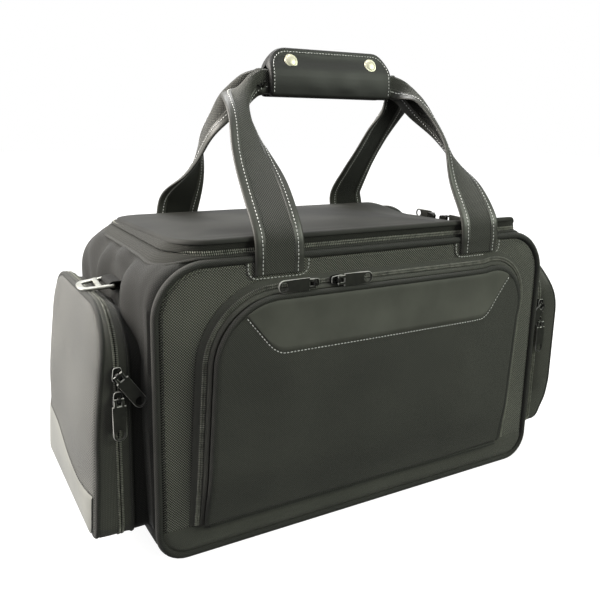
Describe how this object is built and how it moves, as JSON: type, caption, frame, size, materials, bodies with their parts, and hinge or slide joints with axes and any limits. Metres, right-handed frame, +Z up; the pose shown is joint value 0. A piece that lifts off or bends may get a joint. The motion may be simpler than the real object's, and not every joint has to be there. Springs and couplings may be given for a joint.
{
  "type": "soft-sided carry bag",
  "caption": "Soft-sided carry bag with a zipped lid, a front pocket, end pockets, strap handles joined by a snapped grip, and strap rings.",
  "frame": {"origin": "centre of the base, on the surface the bag stands on", "axes": "+X to the bag's right, -Y to its front, +Z up"},
  "size_m": [0.5576, 0.2667, 0.47],
  "materials": {
    "nylon": "matte ballistic weave",
    "leather": "satin leather-look coating",
    "piping": "matte",
    "webbing": "matte weave with leather-look edges",
    "zip_tape": "matte",
    "lining": "matte",
    "board": "matte",
    "steel": "satin",
    "zip_metal": "gloss black"
  },
  "bodies": {
    "bag": {"bottom_band": "nylon", "left_gusset": "nylon", "right_gusset": "nylon", "top_strips": "nylon", "front_panel": "nylon", "back_panel": "nylon", "front_piping": "piping", "back_piping": "piping", "lining": "lining", "floor_board": "board", "lid_zip": "zip_tape", "front_patches": "nylon", "back_patches": "nylon", "front_feet": "webbing", "back_feet": "webbing", "front_zip": "zip_tape", "front_floor": "nylon", "left_pocket": "nylon", "left_zip": "zip_tape", "right_pocket": "nylon", "right_zip": "zip_tape", "left_tab": "webbing", "right_tab": "webbing"},
    "lid": {"lid_band": "zip_tape", "lid_panel": "leather"},
    "front_handle": {"front_strap": "webbing"},
    "back_handle": {"back_strap": "webbing", "grip_back": "leather", "snap_studs": "steel"},
    "grip_flap": {"grip_front": "leather", "snap_caps": "steel"},
    "front_pocket": {"front_cover": "nylon", "front_cover_piping": "piping", "front_yoke": "leather"},
    "left_pocket_cover": {"left_cover": "nylon", "left_cover_piping": "piping", "left_trim": "leather"},
    "right_pocket_cover": {"right_cover": "nylon", "right_cover_piping": "piping", "right_trim": "leather"},
    "left_ring": {"left_ring": "steel"},
    "right_ring": {"right_ring": "steel"},
    "lid_slider_a": {"lid_slider_a": "zip_metal"},
    "lid_pull_a": {"lid_pull_a": "zip_metal"},
    "lid_slider_b": {"lid_slider_b": "zip_metal"},
    "lid_pull_b": {"lid_pull_b": "zip_metal"},
    "front_slider_a": {"front_slider_a": "zip_metal"},
    "front_pull_a": {"front_pull_a": "zip_metal"},
    "front_slider_b": {"front_slider_b": "zip_metal"},
    "front_pull_b": {"front_pull_b": "zip_metal"},
    "left_slider_a": {"left_slider_a": "zip_metal"},
    "left_pull_a": {"left_pull_a": "zip_metal"},
    "left_slider_b": {"left_slider_b": "zip_metal"},
    "left_pull_b": {"left_pull_b": "zip_metal"},
    "right_slider_a": {"right_slider_a": "zip_metal"},
    "right_pull_a": {"right_pull_a": "zip_metal"},
    "right_slider_b": {"right_slider_b": "zip_metal"},
    "right_pull_b": {"right_pull_b": "zip_metal"}
  },
  "joints": [
    {"name": "lid_hinge", "type": "hinge", "parent": "bag", "child": "lid", "pos_m": [0, 0.1063, 0.28418], "axis": [-1, 0, 0], "range_deg": [0, 100]},
    {"name": "front_handle_swing", "type": "hinge", "parent": "bag", "child": "front_handle", "pos_m": [0, -0.1227, 0.283], "axis": [1, 0, 0], "range_deg": [0, 120]},
    {"name": "back_handle_swing", "type": "hinge", "parent": "bag", "child": "back_handle", "pos_m": [0, 0.1227, 0.283], "axis": [-1, 0, 0], "range_deg": [0, 100]},
    {"name": "grip_flap_fold", "type": "hinge", "parent": "front_handle", "child": "grip_flap", "pos_m": [0, -0.013, 0.42], "axis": [1, 0, 0], "range_deg": [0, 110]},
    {"name": "front_pocket_hinge", "type": "hinge", "parent": "bag", "child": "front_pocket", "pos_m": [0, -0.141, 0.032], "axis": [1, 0, 0], "range_deg": [0, 85]},
    {"name": "left_pocket_hinge", "type": "hinge", "parent": "bag", "child": "left_pocket_cover", "pos_m": [-0.27735, 0, 0.026], "axis": [0, -1, 0], "range_deg": [0, 85]},
    {"name": "right_pocket_hinge", "type": "hinge", "parent": "bag", "child": "right_pocket_cover", "pos_m": [0.27735, 0, 0.026], "axis": [0, 1, 0], "range_deg": [0, 85]},
    {"name": "left_ring_swing", "type": "hinge", "parent": "bag", "child": "left_ring", "pos_m": [-0.24, -0.02, 0.2442], "axis": [0, 1, 0], "range_deg": [0, 100]},
    {"name": "right_ring_swing", "type": "hinge", "parent": "bag", "child": "right_ring", "pos_m": [0.24, -0.02, 0.2442], "axis": [0, -1, 0], "range_deg": [0, 100]},
    {"name": "lid_slide_a", "type": "slide", "parent": "bag", "child": "lid_slider_a", "axis": [0, 1, 0], "range_m": [-0.095, 0]},
    {"name": "lid_pull_swing_a", "type": "hinge", "parent": "lid_slider_a", "child": "lid_pull_a", "pos_m": [0.2184, 0.03, 0.279], "axis": [0, 0, 1], "range_deg": [0, 100]},
    {"name": "lid_slide_b", "type": "slide", "parent": "bag", "child": "lid_slider_b", "axis": [0, 1, 0], "range_m": [-0.006, 0.006]},
    {"name": "lid_pull_swing_b", "type": "hinge", "parent": "lid_slider_b", "child": "lid_pull_b", "pos_m": [0.2184, 0.054, 0.279], "axis": [0, 0, -1], "range_deg": [0, 100]},
    {"name": "front_slide_a", "type": "slide", "parent": "bag", "child": "front_slider_a", "axis": [1, 0, 0], "range_m": [-0.045, 0]},
    {"name": "front_pull_swing_a", "type": "hinge", "parent": "front_slider_a", "child": "front_pull_a", "pos_m": [-0.082, -0.1354, 0.2527], "axis": [0, 0, 1], "range_deg": [0, 170]},
    {"name": "front_slide_b", "type": "slide", "parent": "bag", "child": "front_slider_b", "axis": [1, 0, 0], "range_m": [0, 0.18]},
    {"name": "front_pull_swing_b", "type": "hinge", "parent": "front_slider_b", "child": "front_pull_b", "pos_m": [-0.056, -0.1354, 0.2527], "axis": [0, 0, -1], "range_deg": [0, 170]},
    {"name": "left_slide_a", "type": "slide", "parent": "bag", "child": "left_slider_a", "axis": [0, 0, 1], "range_m": [0, 0.009]},
    {"name": "left_pull_swing_a", "type": "hinge", "parent": "left_slider_a", "child": "left_pull_a", "pos_m": [-0.2575, -0.1074, 0.184], "axis": [-0.8192, 0, -0.5736], "range_deg": [0, 170]},
    {"name": "left_slide_b", "type": "slide", "parent": "bag", "child": "left_slider_b", "axis": [0, 0, 1], "range_m": [-0.1, 0]},
    {"name": "left_pull_swing_b", "type": "hinge", "parent": "left_slider_b", "child": "left_pull_b", "pos_m": [-0.2575, -0.1074, 0.162], "axis": [-1, 0, 0], "range_deg": [0, 140]},
    {"name": "right_slide_a", "type": "slide", "parent": "bag", "child": "right_slider_a", "axis": [0, 0, 1], "range_m": [0, 0.009]},
    {"name": "right_pull_swing_a", "type": "hinge", "parent": "right_slider_a", "child": "right_pull_a", "pos_m": [0.2575, -0.1074, 0.184], "axis": [-0.8192, 0, 0.5736], "range_deg": [0, 170]},
    {"name": "right_slide_b", "type": "slide", "parent": "bag", "child": "right_slider_b", "axis": [0, 0, 1], "range_m": [-0.1, 0]},
    {"name": "right_pull_swing_b", "type": "hinge", "parent": "right_slider_b", "child": "right_pull_b", "pos_m": [0.2575, -0.1074, 0.162], "axis": [-1, 0, 0], "range_deg": [0, 140]}
  ],
  "couplings": [
    {"joint": "front_handle_swing", "follows": "lid_hinge", "ratio": 1.2},
    {"joint": "back_handle_swing", "follows": "lid_hinge", "ratio": 1}
  ]
}
